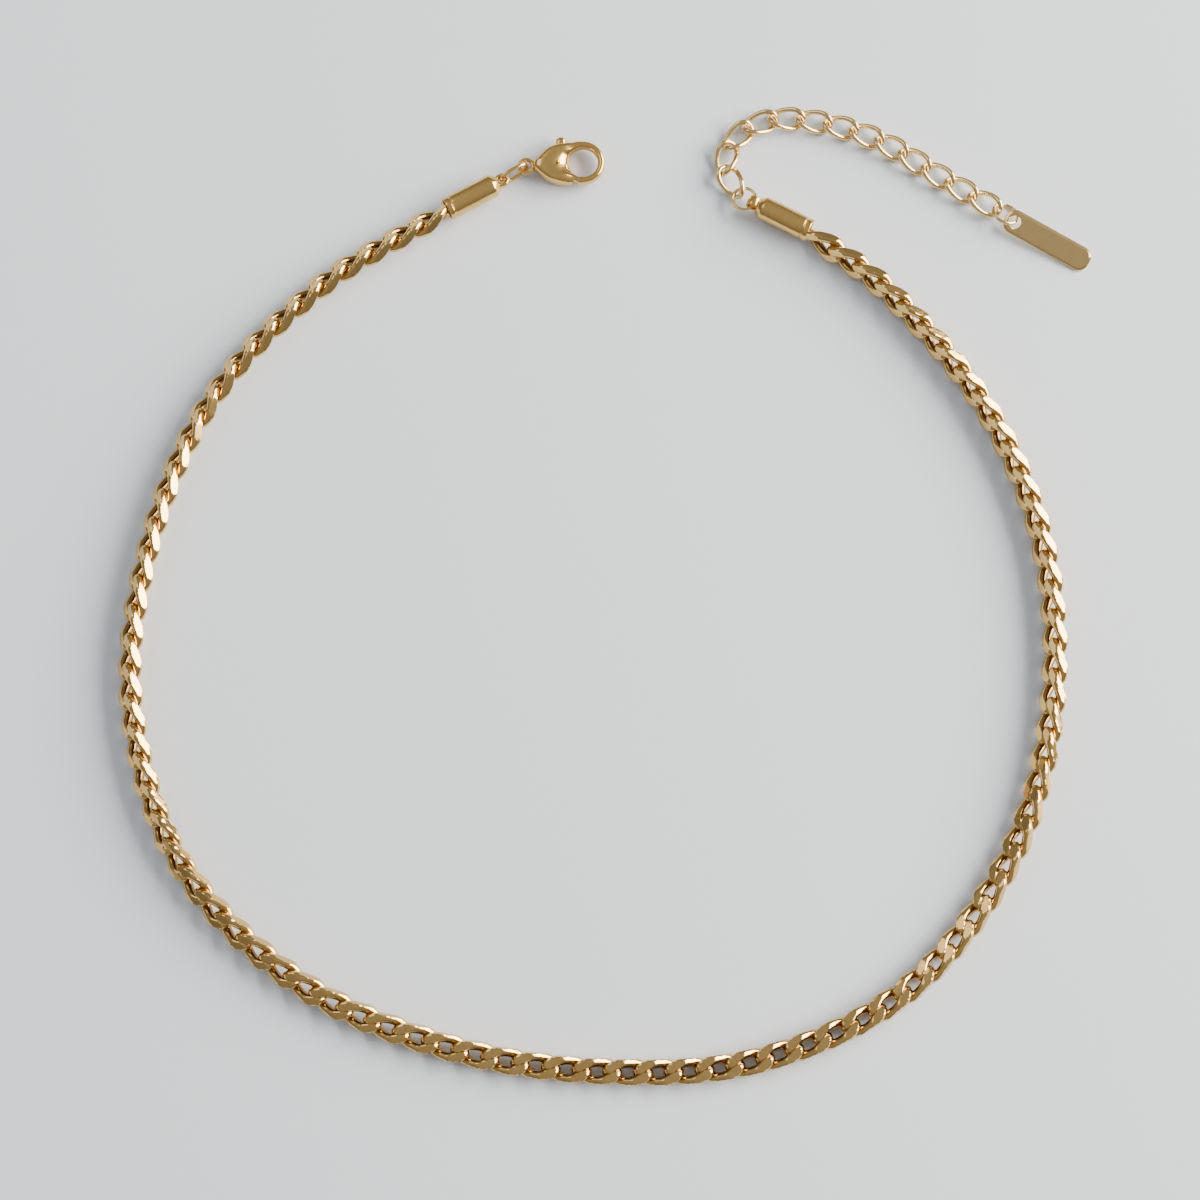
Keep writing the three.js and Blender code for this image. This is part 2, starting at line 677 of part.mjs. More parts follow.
// Jump ring on the right cap. It slopes down from the lug to the extender's first link.
const extenderStart = along(extenderCurve, 0).heading;
const startSeat = seatHeight(extenderRings, extenderRoll(0));
const capRingBow = (EXTENDER_WIRE + CAP_RING_WIRE) / 2 + BOW_CLEARANCE;
const capRingSlope = Math.asin(
  (capHeight - startSeat) /
    (capRingRadius * (1 + Math.cos(rightCap.heading - extenderStart))),
);
const capRing = add(
  charmAnklet,
  "cap_jump_ring",
  ringGeometry(CAP_RING_DIAMETER, CAP_RING_WIRE),
  PALE_GOLD,
);
capRing.rotation.set(rad(CAP_RING_TILT), capRingSlope, rightCap.heading, "ZYX");
capRing.position
  .set(capRingRadius - capRingBend / 2, 0, 0)
  .applyEuler(new THREE.Euler(0, capRingSlope, rightCap.heading, "ZYX"))
  .add(rightCap.lug);
const startOffset = new THREE.Vector3(Math.cos(extenderStart), Math.sin(extenderStart), 0)
  .multiplyScalar(capRingRadius - capRingBow + extenderOverhang)
  .add(capRing.position)
  .sub(along(extenderCurve, 0).point);

// Jump ring of the tag, lying askew with its low side on the surface. The last link rises to it.
const tagHeading = rad(TAG_HEADING);
const tagRingRadius = (TAG_RING_DIAMETER - TAG_RING_WIRE) / 2;
const tagRingTurn = new THREE.Euler(rad(TAG_RING_TILT), 0, tagHeading, "ZYX");
function onTagRing(angle, radius) {
  const point = new THREE.Vector3(radius * Math.cos(angle), radius * Math.sin(angle), 0);
  return point.applyEuler(tagRingTurn);
}
const tagRingHeight = tagRingRadius * Math.sin(rad(Math.abs(TAG_RING_TILT))) + TAG_RING_WIRE / 2;
const lastJoint = along(extenderCurve, extenderCount * extenderPitch);
const bowAngle = Math.PI + lastJoint.heading - tagHeading;
const tagRingBow = (EXTENDER_WIRE + TAG_RING_WIRE) / 2 + BOW_CLEARANCE;
const bowHeight = tagRingHeight + onTagRing(bowAngle, tagRingRadius).z;

for (let i = 0; i < extenderCount; i++) {
  const from = along(extenderCurve, i * extenderPitch).point;
  const to = along(extenderCurve, (i + 1) * extenderPitch).point;
  const roll = extenderRoll(i);
  const seat = seatHeight(extenderRings, roll);
  const rise = i === extenderCount - 1 ? bowHeight - seat : 0;
  const link = add(
    charmAnklet,
    "extender_link_" + String(i + 1).padStart(2, "0"),
    skin(extenderRings, true),
    PALE_GOLD,
  );
  link.position.copy(from).lerp(to, 0.5).add(startOffset);
  link.position.z = seat + rise / 2;
  const heading = Math.atan2(to.y - from.y, to.x - from.x);
  link.rotation.set(roll, -Math.asin(rise / extenderPitch), heading, "ZYX");
}

const tagRing = add(
  charmAnklet,
  "tag_jump_ring",
  ringGeometry(TAG_RING_DIAMETER, TAG_RING_WIRE),
  PALE_GOLD,
);
tagRing.position
  .set(Math.cos(lastJoint.heading), Math.sin(lastJoint.heading), 0)
  .multiplyScalar(extenderOverhang - tagRingBow)
  .add(lastJoint.point)
  .add(startOffset)
  .sub(onTagRing(bowAngle, tagRingRadius));
tagRing.position.z = tagRingHeight;
tagRing.rotation.copy(tagRingTurn);

// Tag: the ring passes through its hole and props it up, and its far end rests on the surface.
const tag = add(charmAnklet, "tag", tagGeometry(), PALE_GOLD);
tag.position.copy(onTagRing(rad(TAG_RING_TURN), tagRingRadius)).add(tagRing.position);
let flatter = 0;
let steeper = Math.PI / 6;
for (let step = 0; step < 30; step++) {
  tag.rotation.set(rad(TAG_ROLL), (flatter + steeper) / 2, tagHeading, "ZYX");
  const above = new THREE.Box3().setFromObject(tag, true).min.z > 0;
  if (above) flatter = tag.rotation.y;
  else steeper = tag.rotation.y;
}

// The origin is below the middle of the whole piece, on the surface that it lies on.
const box = new THREE.Box3().setFromObject(charmAnklet, true);
const middle = box.getCenter(new THREE.Vector3());
charmAnklet.position.set(-middle.x, -middle.y, -box.min.z);

export default charmAnklet;
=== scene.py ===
"""Looks of the curb-chain anklet: fine links, caps, clasp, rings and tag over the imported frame.

Sizes are metres, +Z is up from the surface that the anklet lies on.
"""

import math

import bmesh
import bpy
import numpy as np
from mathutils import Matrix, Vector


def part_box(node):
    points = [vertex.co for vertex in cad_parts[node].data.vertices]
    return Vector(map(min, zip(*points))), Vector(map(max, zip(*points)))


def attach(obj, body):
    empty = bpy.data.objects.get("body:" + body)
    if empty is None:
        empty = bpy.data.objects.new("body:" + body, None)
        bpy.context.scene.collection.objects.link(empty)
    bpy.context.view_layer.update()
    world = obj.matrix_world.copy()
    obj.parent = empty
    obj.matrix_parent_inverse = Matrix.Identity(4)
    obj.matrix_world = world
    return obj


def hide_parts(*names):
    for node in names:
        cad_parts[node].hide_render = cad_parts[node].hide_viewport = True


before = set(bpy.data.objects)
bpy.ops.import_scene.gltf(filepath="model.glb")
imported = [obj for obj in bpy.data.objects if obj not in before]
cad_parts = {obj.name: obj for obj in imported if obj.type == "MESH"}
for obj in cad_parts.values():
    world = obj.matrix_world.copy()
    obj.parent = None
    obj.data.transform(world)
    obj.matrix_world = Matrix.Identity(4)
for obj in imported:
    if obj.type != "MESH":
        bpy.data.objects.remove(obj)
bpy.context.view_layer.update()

MM = 0.001

# Main chain. Its wire is thicker and its cut flats are wider than the solids' own.
LINK = {"length": 4.62, "width": 2.66, "wire": 0.96, "twist": -60.0, "flat": 0.75, "side": 1.14}
LINK_PITCH = 2.76
OVAL_POWER = 0.8
CHAIN_ROUTE = np.array([
    [-14.88, 36.94], [-26.3, 29.7], [-36.1, 19.1], [-41.6, 5.5], [-43.0, -9.5], [-38.2, -24.3],
    [-27.3, -35.1], [-13.9, -40.9], [0.1, -43.1], [14.4, -42.1], [27.8, -35.8], [37.5, -23.5],
    [41.5, -9.5], [41.0, 5.0], [36.0, 18.0], [26.6, 29.7], [20.04, 34.75],
])
# How far round the links lie, in degrees, by share of the chain's length
CHAIN_ROLL = np.array([
    [0.0, 44], [0.12, 50], [0.22, 55], [0.34, 40], [0.46, 13], [0.56, 1], [0.66, -20],
    [0.73, -46], [0.8, -60], [0.9, -64], [1.0, -64],
])

# Rings and the extender, each laid over its solid
EXTENDER = {"length": 3.72, "width": 2.38, "wire": 0.5, "twist": 44.0, "flat": 0, "side": 0}
CONNECTOR = {"length": 3.14, "width": 1.7, "wire": 0.4, "twist": 0.0, "flat": 0, "side": 0}
CAP_RING = {"diameter": 2.55, "wire": 0.33}
TAG_RING = {"diameter": 2.8, "wire": 0.33}

# End caps, along X from the open end. The shoulder starts SHOULDER_SHARE of the radius before the
# closed end, and the end's flat face reaches FACE_SHARE of the radius out.
CAP_LENGTH = 5.45
CAP_RADIUS = 1.12
CAP_BORE = 0.97
CAP_BORE_DEPTH = 0.75
CAP_RIM = 0.5
CAP_GROOVE = 0.12
CAP_EDGE = 0.16
SHOULDER_SHARE = 0.5
FACE_SHARE = 0.62
POLE_RADIUS = 0.02
LUG_LENGTH = 1.0
LUG_HOLE_INSET = 0.56
LEFT_LUG = {"radius": 0.76, "hole": 0.34, "width": 0.56, "turn": 70.0}
RIGHT_LUG = {"radius": 0.66, "hole": 0.39, "width": 1.06, "turn": 7.0}

# Clasp, about the middle of its mouth
CLASP_HEADING = math.radians(3.0)
CLASP_TAIL = 4.75
CLASP_WIDTH = 4.2
CLASP_HEIGHT = 1.9
MOUTH_RADIUS = 1.4
HOOK_HEIGHT = 1.15
HOOK_END = -105.0
LEVER_TIP = -106.6
LEVER_ROOT = -172.0
LEVER_INSET = 0.04
LEVER_HIGH_SHARE = 0.46
BODY_END = -119.0
PIVOT_BACK = 2.4
PIN_RADIUS = 0.3
PIN_RISE = 0.03
EYE_RADIUS = 0.64
EYE_WIRE = 0.4
MOUTH_SLOPE = 0.62  # power that makes the body fall gently to the mouth
BODY_RISE = 0.3  # share of the tail over which the body rises from the hook's height
OUTLINE_END = 0.05  # how far the outline runs past the tail's last point
NUB = {"ahead": 0.4, "reach": 2.12, "long": 0.56, "wide": 0.5, "high": 0.42}
# Outline behind the mouth: back as a share of the tail, half as a share of half the width
CLASP_OUTLINE = np.array([
    [0.2, 0.97], [0.38, 0.98], [0.55, 0.9], [0.72, 0.74], [0.84, 0.52], [0.93, 0.3], [1.0, 0.17],
])

# Tag
TAG = {"length": 9.0, "width": 2.3, "thick": 0.36, "corner": 0.92, "hole": 0.6, "inset": 1.0}
TAG_BEVEL = 0.24
TAG_BEVEL_DROP = 0.13
TAG_KNEE_DROP = 0.09
TAG_KNEE_INSET = 0.03
TAG_EDGE = 0.05

# Camera of the photo
LENS_MM = 85.0
SENSOR_MM = 36.0
CAMERA_DISTANCE = 0.26265
CAMERA_ELEVATION = math.radians(80.0)


def turned(points, heading=0.0, pitch=0.0, roll=0.0):
    """Points rolled about X, then pitched about Y, then headed about Z; angles may be arrays."""
    heading, pitch, roll = (np.asarray(a, float) for a in (heading, pitch, roll))
    x, y, z = points[..., 0], points[..., 1], points[..., 2]
    y, z = y * np.cos(roll) - z * np.sin(roll), y * np.sin(roll) + z * np.cos(roll)
    x, z = x * np.cos(pitch) + z * np.sin(pitch), -x * np.sin(pitch) + z * np.cos(pitch)
    x, y = x * np.cos(heading) - y * np.sin(heading), x * np.sin(heading) + y * np.cos(heading)
    return np.stack([x, y, z], -1)


def centripetal_route(points, count=4000):
    """A smooth route through points: each span is a cubic whose end slopes come from its
    neighbours, weighted by the square roots of the spans' lengths. Returns the route's points
    and the distance along it of each."""
    ends = np.vstack([2 * points[0] - points[1], points, 2 * points[-1] - points[-2]])
    t = np.linspace(0, len(points) - 1, count)
    i = np.minimum(t.astype(int), len(points) - 2)
    w = (t - i)[:, None]
    p0, p1, p2, p3 = ends[i], ends[i + 1], ends[i + 2], ends[i + 3]
    d0 = np.linalg.norm(p1 - p0, axis=1)[:, None] ** 0.5
    d1 = np.linalg.norm(p2 - p1, axis=1)[:, None] ** 0.5
    d2 = np.linalg.norm(p3 - p2, axis=1)[:, None] ** 0.5
    m1 = ((p1 - p0) / d0 - (p2 - p0) / (d0 + d1) + (p2 - p1) / d1) * d1
    m2 = ((p2 - p1) / d1 - (p3 - p1) / (d1 + d2) + (p3 - p2) / d2) * d1
    c2 = -3 * p1 + 3 * p2 - 2 * m1 - m2
    c3 = 2 * p1 - 2 * p2 + m1 + m2
    line = p1 + m1 * w + c2 * w**2 + c3 * w**3
    steps = np.linalg.norm(np.diff(line, axis=0), axis=1)
    return line, np.concatenate([[0], np.cumsum(steps)])


def on_route(route, distance):
    """Point and heading at a distance along a route, by linear interpolation."""
    line, far = route
    distance = np.clip(distance, 0, far[-1])
    point = np.stack([np.interp(distance, far, line[:, k]) for k in (0, 1)], -1)
    ahead = np.stack([np.interp(distance + 0.05, far, line[:, k]) for k in (0, 1)], -1)
    behind = np.stack([np.interp(distance - 0.05, far, line[:, k]) for k in (0, 1)], -1)
    way = ahead - behind
    return point, np.arctan2(way[..., 1], way[..., 0])


def fuller(value):
    """A sine or cosine raised to OVAL_POWER with its sign kept, which fills out an oval."""
    return np.sign(value) * np.abs(value) ** OVAL_POWER


def link_surface(size, stations, sides):
    """One bent link as a grid of points: its middle line is an oval with half axes a and b whose
    sine and cosine are raised to OVAL_POWER, each point is turned about X by the twist times its
    share of the half length, and a round section of the wire's radius is carried along it. The
    cut flats hold z between minus and plus flat, and y between minus and plus side."""
    a = (size["length"] - size["wire"]) / 2
    b = (size["width"] - size["wire"]) / 2
    r = size["wire"] / 2
    twist = math.radians(size["twist"])

    def middle(t):
        phi = twist * fuller(np.cos(t))
        y = b * fuller(np.sin(t))
        return np.stack([a * fuller(np.cos(t)), y * np.cos(phi), y * np.sin(phi)], -1)

    t = 2 * math.pi * (np.arange(stations) + 0.5) / stations
    ahead = middle(t + 1e-3) - middle(t - 1e-3)
    ahead /= np.linalg.norm(ahead, axis=1)[:, None]
    flat_out = np.stack([fuller(np.cos(t)) / a, fuller(np.sin(t)) / b, 0 * t], -1)
    out = turned(flat_out, roll=twist * fuller(np.cos(t)))
    out -= ahead * np.sum(out * ahead, axis=1)[:, None]
    out /= np.linalg.norm(out, axis=1)[:, None]
    side = np.cross(ahead, out)
    k = math.pi - 2 * math.pi * (np.arange(sides) + 0.5) / sides
    ring = middle(t)[:, None] + r * (
        out[:, None] * np.cos(k)[None, :, None] + side[:, None] * np.sin(k)[None, :, None]
    )
    if size["flat"]:
        ring[..., 2] = np.clip(ring[..., 2], -size["flat"], size["flat"])
        ring[..., 1] = np.clip(ring[..., 1], -size["side"], size["side"])
    return ring


def mesh_of(name, points, faces, smooth_below=30.0):
    """A mesh object from an array of points and an array or list of faces."""
    mesh = bpy.data.meshes.new(name)
    mesh.from_pydata(np.asarray(points).reshape(-1, 3).tolist(), [], faces)
    shell = bmesh.new()
    shell.from_mesh(mesh)
    bmesh.ops.recalc_face_normals(shell, faces=shell.faces)
    shell.to_mesh(mesh)
    shell.free()
    mesh.shade_smooth()
    mesh.set_sharp_from_angle(angle=math.radians(smooth_below))
    piece = bpy.data.objects.new(name, mesh)
    bpy.context.scene.collection.objects.link(piece)
    return piece


def grid_faces(rows, columns, start=0, close_rows=True):
    """Faces of a grid whose columns close round; its rows close too, or end in flat caps."""
    i = np.arange(rows if close_rows else rows - 1)[:, None]
    k = np.arange(columns)[None, :]
    near = i * columns
    far = (i + 1) % rows * columns
    after = (k + 1) % columns
    quads = np.stack(
        [near + k, far + k, far + after, near + after], -1,
    ).reshape(-1, 4) + start
    faces = quads.tolist()
    if not close_rows:
        faces.append((start + np.arange(columns)).tolist())
        faces.append((start + (rows - 1) * columns + np.arange(columns)[::-1]).tolist())
    return faces


def repeated(name, surfaces, smooth_below=30.0):
    """One object of many grids of equal size, each closed both ways."""
    count, rows, columns = surfaces.shape[:3]
    one = np.array(grid_faces(rows, columns))
    faces = (one[None] + (np.arange(count) * rows * columns)[:, None, None]).reshape(-1, 4)
    return mesh_of(name, surfaces, faces.tolist(), smooth_below)


# Placing: the routes are drawn about the photo's middle, and the frame's origin is the middle of
# the whole piece, so the left half of the chain gives the shift between the two.
chain_route = centripetal_route(CHAIN_ROUTE)
chain_length = chain_route[1][-1]
chain_count = round(chain_length / LINK_PITCH)
chain_pitch = chain_length / chain_count


def seat_height(surface, roll):
    """How high a link's middle lies above the surface once it is rolled."""
    roll = np.asarray(roll, float)[..., None, None]
    low = surface[..., 1] * np.sin(roll) + surface[..., 2] * np.cos(roll)
    return -low.min(axis=(-1, -2))


def chain_links(stations, sides, first, end):
    """The chain's links from first to end as points, each seated on the surface."""
    index = np.arange(first, end)
    distance = (index + 0.5) * chain_pitch
    point, heading = on_route(chain_route, distance)
    roll = np.radians(np.interp(distance / chain_length, CHAIN_ROLL[:, 0], CHAIN_ROLL[:, 1]))
    link = link_surface(LINK, stations, sides)
    placed = turned(link[None], heading[:, None, None], 0.0, roll[:, None, None])
    placed[..., :2] += point[:, None, None, :]
    placed[..., 2] += seat_height(link, roll)[:, None, None]
    return placed


halfway = math.ceil(chain_count / 2)
rough = chain_links(10, 5, 0, halfway).reshape(-1, 3)
low, high = (np.array(v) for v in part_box("chain_left"))
shift = ((low + high) / 2 * 1000 - (rough.min(0) + rough.max(0)) / 2) * [1, 1, 0]


def in_frame(points):
    """Points about the drawing's middle, in millimetres, moved to the frame, in metres."""
    return (points + shift) * MM


def fine_chain(name, first, end):
    """A half of the chain. Its attribute "inner" tells how far a point of the wire's section faces
    the middle of its own link, from 0 outside to 1 inside; the chain's material paints shade in
    the links' hollows by it."""
    stations, sides = 60, 24
    chain = repeated(name, in_frame(chain_links(stations, sides, first, end)), 18.0)
    k = math.pi - 2 * math.pi * (np.arange(sides) + 0.5) / sides
    facing = np.broadcast_to((1 - np.cos(k)) / 2, (end - first, stations, sides))
    inner = chain.data.attributes.new("inner", "FLOAT", "POINT")
    inner.data.foreach_set("value", np.ascontiguousarray(facing).ravel().astype(np.float32))
    return chain


def solid_frame(name, toward=(1, 0, 0)):
    """Middle and axes of a solid in millimetres: the axes are the directions in which its corners
    spread most, second most and least, the first one pointing toward and the third one up."""
    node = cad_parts[name]
    count = len(node.data.vertices)
    flat = np.empty(count * 3)
    node.data.vertices.foreach_get("co", flat)
    matrix = np.array(node.matrix_world)
    points = flat.reshape(-1, 3) @ matrix[:3, :3].T + matrix[:3, 3]
    points = np.unique(np.round(points / MM, 4), axis=0)
    spread = np.linalg.eigh(np.cov(points.T))[1]
    first = spread[:, 2] * np.sign(spread[:, 2] @ np.array(toward, float))
    third = spread[:, 0] * (1 if spread[2, 0] >= 0 else -1)
    axes = np.stack([first, np.cross(third, first), third])
    along = points @ axes.T
    return (along.min(0) + along.max(0)) / 2 @ axes, axes


def laid(points, place):
    """Points moved from a piece's own axes to the frame, in metres."""
    middle, axes = place
    return (points @ axes + middle) * MM


def ring_surface(ring, stations=56, sides=18):
    """A torus about z: a circle of the wire's radius carried round the ring's middle circle."""
    u = 2 * math.pi * np.arange(stations)[:, None] / stations
    v = -2 * math.pi * np.arange(sides)[None, :] / sides
    far = (ring["diameter"] - ring["wire"]) / 2 + ring["wire"] / 2 * np.cos(v)
    height = ring["wire"] / 2 * np.sin(v)
    return np.stack(np.broadcast_arrays(far * np.cos(u), far * np.sin(u), height), -1)


def soften(corners, radius, steps=5):
    """A line through corners, each inner corner replaced by a parabola that starts and ends the
    radius away from it, or a third of the way to its neighbour where that is nearer."""
    corners = np.array(corners, float)
    before = corners[:-2] - corners[1:-1]
    after = corners[2:] - corners[1:-1]
    long_before = np.linalg.norm(before, axis=1)[:, None]
    long_after = np.linalg.norm(after, axis=1)[:, None]
    start = before / long_before * np.minimum(radius, long_before / 3)
    end = after / long_after * np.minimum(radius, long_after / 3)
    t = np.linspace(0, 1, steps)[None, :, None]
    curve = corners[1:-1, None] + start[:, None] * (1 - t) ** 2 + end[:, None] * t**2
    return np.vstack([corners[:1], curve.reshape(-1, 2), corners[-1:]])


def lathe(profile, sides=72):
    """A profile of distance along X and radius, turned about X."""
    v = 2 * math.pi * np.arange(sides)[None, :] / sides
    x, r = profile[:, 0][:, None], profile[:, 1][:, None]
    return np.stack(np.broadcast_arrays(x, r * np.cos(v), r * np.sin(v)), -1)


def joined(name, grids, smooth_below=30.0):
    """One object of several grids: each is points and whether its rows close round."""
    points, faces, start = [], [], 0
    for grid, closed in grids:
        points.append(grid.reshape(-1, 3))
        faces += grid_faces(grid.shape[0], grid.shape[1], start, closed)
        start += grid.shape[0] * grid.shape[1]
    return mesh_of(name, np.vstack(points), faces, smooth_below)


def end_cap(name, node, toward, lug):
    """A turned barrel with a recess for the chain, a grooved rim and a rounded shoulder, and a
    soldered eye whose hole runs along Y before it is turned about the cap's own line."""
    middle, axes = solid_frame(node, toward)
    heading = math.atan2(axes[0][1], axes[0][0])
    base = middle - axes[0] * (CAP_LENGTH + LUG_LENGTH) / 2
    r = CAP_RADIUS
    barrel = soften([
        (CAP_BORE_DEPTH, POLE_RADIUS), (CAP_BORE_DEPTH, CAP_BORE), (0, CAP_BORE), (0, r),
        (CAP_RIM, r), (CAP_RIM, r - CAP_GROOVE), (CAP_RIM + CAP_GROOVE, r - CAP_GROOVE),
        (CAP_RIM + CAP_GROOVE, r), (CAP_LENGTH - SHOULDER_SHARE * r, r),
        (CAP_LENGTH, FACE_SHARE * r), (CAP_LENGTH, POLE_RADIUS),
    ], CAP_EDGE, 6)
    u = 2 * math.pi * np.arange(48)[:, None] / 48
    v = -2 * math.pi * np.arange(20)[None, :] / 20
    far = (lug["radius"] + lug["hole"]) / 2 + (lug["radius"] - lug["hole"]) / 2 * fuller(np.cos(v))
    eye = np.stack(np.broadcast_arrays(
        CAP_LENGTH + LUG_LENGTH - LUG_HOLE_INSET + far * np.cos(u),
        lug["width"] / 2 * fuller(np.sin(v)),
        far * np.sin(u),
    ), -1)
    turn = math.radians(lug["turn"])
    pieces = [(lathe(barrel), False), (eye, True)]
    grids = [((turned(p, heading, 0, turn) + base) * MM, closed) for p, closed in pieces]
    return joined(name, grids, 40.0)


def clasp_outer(angle):
    """Distance from the mouth's middle to the clasp's outline, by angle round the mouth."""
    back = CLASP_OUTLINE[:, 0] * CLASP_TAIL
    half = CLASP_OUTLINE[:, 1] * CLASP_WIDTH / 2
    known = np.concatenate([[0, 90], np.degrees(np.arctan2(half, -back)), [180]])
    far = np.concatenate([[CLASP_WIDTH / 2] * 2, np.hypot(back, half), [CLASP_TAIL + OUTLINE_END]])
    turns = np.abs((np.degrees(angle) + 180) % 360 - 180)
    return np.interp(turns, known, far)


def round_mouth(start, end, outer, high, inner, stations, sides=28):
    """A band round the mouth between two angles. Its section is an oval between the inner radius
    and the outline, its sine and cosine raised to OVAL_POWER. Where it reaches beyond the hook's
    outline its share across is raised to a power under one, so it falls gently to the mouth."""
    u = np.radians(np.linspace(start, end, stations))[:, None]
    v = -2 * math.pi * np.arange(sides)[None, :] / sides
    reach = outer(u)
    power = 1 - (1 - MOUTH_SLOPE) * body_share(reach)
    share = np.clip((1 + fuller(np.cos(v))) / 2, 0, 1) ** power
    far = inner + (reach - inner) * share
    height = high(reach) * fuller(np.sin(v))
    return np.stack(np.broadcast_arrays(far * np.cos(u), far * np.sin(u), height), -1)


def body_share(reach):
    """0 where the clasp reaches no further than its hook, 1 where it reaches into the body."""
    rise = np.clip((reach - CLASP_WIDTH / 2) / (BODY_RISE * CLASP_TAIL), 0, 1)
    return rise * rise * (3 - 2 * rise)


def clasp_high(reach):
    """Half height of the clasp's body by its reach: the hook's, rising to the full height."""
    return (HOOK_HEIGHT + (CLASP_HEIGHT - HOOK_HEIGHT) * body_share(reach)) / 2


def pebble(middle, half, stations=24, sides=32):
    """A rounded block: an ellipsoid whose sines and cosines are raised to OVAL_POWER."""
    u = np.linspace(-math.pi / 2 + 0.02, math.pi / 2 - 0.02, stations)[:, None]
    v = 2 * math.pi * np.arange(sides)[None, :] / sides
    unit = np.stack(np.broadcast_arrays(
        fuller(np.cos(u)) * fuller(np.cos(v)),
        fuller(np.cos(u)) * fuller(np.sin(v)),
        fuller(np.sin(u)),
    ), -1)
    return unit * np.array(half) + np.array(middle)


def clasp_place():
    """The mouth's middle: as far behind the front of the hook as half the clasp's width, and
    halfway between the clasp's two sides."""
    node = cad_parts["clasp_body"]
    count = len(node.data.vertices)
    flat = np.empty(count * 3)
    node.data.vertices.foreach_get("co", flat)
    matrix = np.array(node.matrix_world)
    points = (flat.reshape(-1, 3) @ matrix[:3, :3].T + matrix[:3, 3]) / MM
    axes = turned(np.eye(3), CLASP_HEADING)
    along = points @ axes.T
    low, high = along.min(0), along.max(0)
    own = np.array([high[0] - CLASP_WIDTH / 2, (low[1] + high[1]) / 2, (low[2] + high[2]) / 2])
    return own @ axes, axes


def clasp_pieces():
    """The clasp's body with its eye and pin, and its lever: a short band inside the hook's own
    band, with the thumb's nub on it."""
    place = clasp_place()
    body = round_mouth(HOOK_END, BODY_END + 360, clasp_outer, clasp_high, MOUTH_RADIUS, 200)
    eye = ring_surface({"diameter": 2 * EYE_RADIUS + EYE_WIRE, "wire": EYE_WIRE})
    eye[..., 0] -= CLASP_TAIL + EYE_RADIUS
    pin = pebble((-PIVOT_BACK, 0, 0), (PIN_RADIUS, PIN_RADIUS, CLASP_HEIGHT / 2 + PIN_RISE))
    clasp = joined("clasp_body_fine", [
        (laid(body, place), False), (laid(eye, place), True), (laid(pin, place), False),
    ], 40.0)
    arm = round_mouth(
        LEVER_ROOT, LEVER_TIP, lambda u: np.full_like(u, CLASP_WIDTH / 2 - LEVER_INSET),
        lambda reach: LEVER_HIGH_SHARE * HOOK_HEIGHT, MOUTH_RADIUS + LEVER_INSET, 60,
    )
    nub = pebble(
        (NUB["ahead"] - PIVOT_BACK, NUB["reach"], 0), (NUB["wide"], NUB["long"], NUB["high"]),
    )
    lever = joined("clasp_lever_fine", [(laid(arm, place), False), (laid(nub, place), False)], 40)
    return clasp, lever


def rounded_outline(inset):
    """The tag's outline moved inwards, as points in even number for any inset: four arcs of
    equal count, and the straight sides cut evenly."""
    c = TAG["corner"] - inset
    across = TAG["length"] / 2 - TAG["corner"]
    up = TAG["width"] / 2 - TAG["corner"]
    quarter = np.linspace(0, math.pi / 2, 14)
    outline = []
    for k, (x, y) in enumerate([(across, up), (-across, up), (-across, -up), (across, -up)]):
        angle = quarter + k * math.pi / 2
        outline.append(np.stack([x + c * np.cos(angle), y + c * np.sin(angle)], -1))
    sides = []
    for k in range(4):
        start, end = outline[k][-1], outline[(k + 1) % 4][0]
        share = np.linspace(0, 1, 32)[1:-1, None]
        sides += [outline[k], start * (1 - share) + end * share]
    return np.vstack(sides)


def tag_surface():
    """A plate in rings that all have the outline's count of points: up the hole's wall, over its
    softened edge and the top to the bevel, down the side, and back below."""
    rim = rounded_outline(0)
    hole = np.array([TAG["inset"] - TAG["length"] / 2, 0])
    way = rim - hole
    way /= np.linalg.norm(way, axis=1)[:, None]
    half, edge, r = TAG["thick"] / 2, TAG_EDGE, TAG["hole"]
    rings = [
        (hole + way * r, -half + edge), (hole + way * r, half - edge),
        (hole + way * (r + edge), half), (rounded_outline(TAG_BEVEL), half),
        (rounded_outline(TAG_KNEE_INSET), half - TAG_KNEE_DROP), (rim, half - TAG_BEVEL_DROP),
        (rim, -half + edge),
        (rounded_outline(edge), -half), (hole + way * (r + edge), -half),
    ]
    return np.stack([np.column_stack([ring, np.full(len(ring), z)]) for ring, z in rings])


chain_left = fine_chain("chain_left_fine", 0, halfway)
chain_right = fine_chain("chain_right_fine", halfway, chain_count)
cap_left = end_cap("end_cap_left_fine", "end_cap_left", (1, 0, 0), LEFT_LUG)
cap_right = end_cap("end_cap_right_fine", "end_cap_right", (-1, 0, 0), RIGHT_LUG)
connector = joined("connector_link_fine", [
    (laid(link_surface(CONNECTOR, 56, 18), solid_frame("connector_link")), True),
])
clasp_body, clasp_lever = clasp_pieces()
cap_ring = joined("cap_jump_ring_fine", [
    (laid(ring_surface(CAP_RING), solid_frame("cap_jump_ring")), True),
])
tag_ring = joined("tag_jump_ring_fine", [
    (laid(ring_surface(TAG_RING), solid_frame("tag_jump_ring")), True),
])
tag = joined("tag_fine", [(laid(tag_surface(), solid_frame("tag")), True)], 20.0)
extender_names = sorted(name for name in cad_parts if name.startswith("extender_link"))
extender = [
    joined(name + "_fine", [(laid(link_surface(EXTENDER, 44, 16), solid_frame(name)), True)])
    for name in extender_names
]


